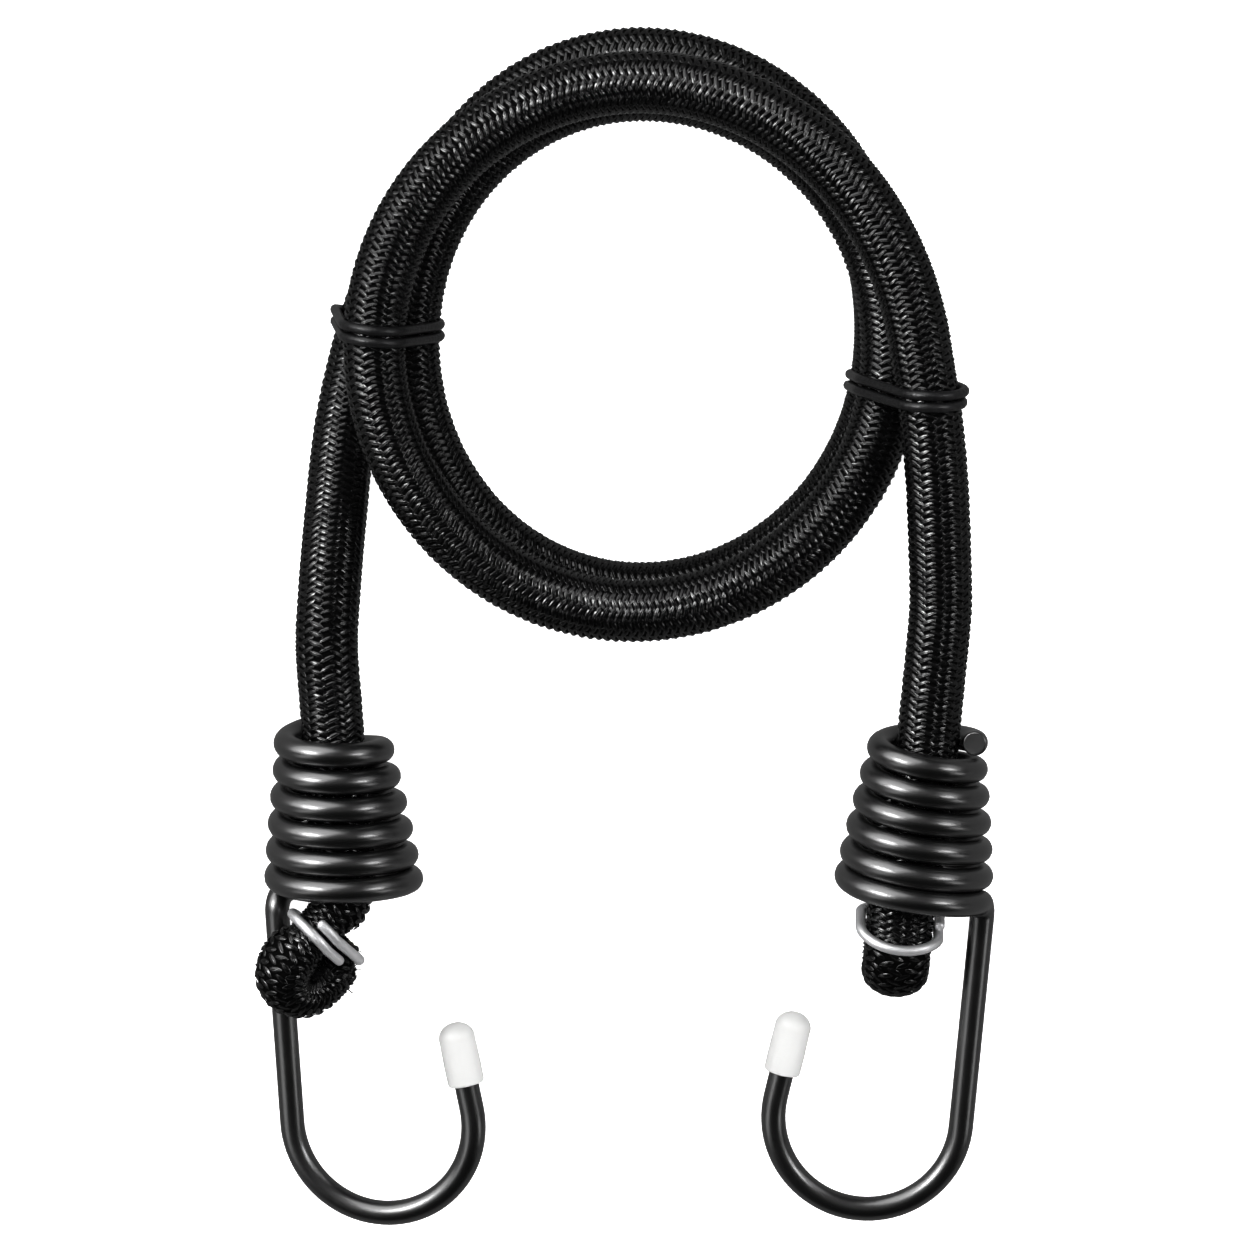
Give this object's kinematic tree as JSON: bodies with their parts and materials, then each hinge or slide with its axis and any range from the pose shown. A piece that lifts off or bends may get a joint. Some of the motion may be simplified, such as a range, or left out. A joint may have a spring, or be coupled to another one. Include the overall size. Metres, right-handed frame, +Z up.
{
  "type": "bungee cord",
  "caption": "Thick braided elastic cord wound into a tied loop, with a hook of coiled wire that turns on each end and a capped tip, for holding loads down.",
  "frame": {"origin": "on the floor under the middle of the hooks, caps, crimps and ties", "axes": "+Y from the hooks to the loop, +X to the right seen from above, +Z up from the floor"},
  "size_m": [0.1404, 0.2289, 0.0415],
  "materials": {
    "cord_cover": "glossy braided yarn",
    "cord_core": "matt",
    "tie": "matt",
    "hook_wire": "glossy coating",
    "tip_cap": "soft vinyl",
    "crimp": "satin"
  },
  "bodies": {
    "tied_loop": {"loop_cover": "cord_cover", "loop_core": "cord_core", "left_tie": "tie", "right_tie": "tie", "left_run_cover": "cord_cover", "left_run_core": "cord_core", "right_run_cover": "cord_cover", "right_run_core": "cord_core"},
    "left_cord_end": {"left_end_cover": "cord_cover", "left_end_core": "cord_core", "left_crimp": "crimp"},
    "right_cord_end": {"right_end_cover": "cord_cover", "right_end_core": "cord_core", "right_crimp": "crimp"},
    "left_swivel_hook": {"left_hook": "hook_wire", "left_tip_cap": "tip_cap"},
    "right_swivel_hook": {"right_hook": "hook_wire", "right_tip_cap": "tip_cap"}
  },
  "joints": [
    {"name": "left_stretch", "type": "slide", "parent": "tied_loop", "child": "left_cord_end", "axis": [0.0663, -0.9978, 0], "range_m": [0, 0.045], "stiffness_N_per_m": 2500, "deforming": ["left_run_cover", "left_run_core"]},
    {"name": "right_stretch", "type": "slide", "parent": "tied_loop", "child": "right_cord_end", "axis": [-0.0941, -0.9956, 0], "range_m": [0, 0.045], "stiffness_N_per_m": 2500, "deforming": ["right_run_cover", "right_run_core"]},
    {"name": "left_hook_swivel", "type": "hinge", "parent": "left_cord_end", "child": "left_swivel_hook", "pos_m": [-0.0543, -0.0242, 0.01502], "axis": [0.0651, -0.9807, -0.1845], "range_deg": [0, 100]},
    {"name": "right_hook_swivel", "type": "hinge", "parent": "right_cord_end", "child": "right_swivel_hook", "pos_m": [0.0541, -0.024, 0.01421], "axis": [-0.0924, -0.9773, -0.1908], "range_deg": [-45, 110]}
  ]
}
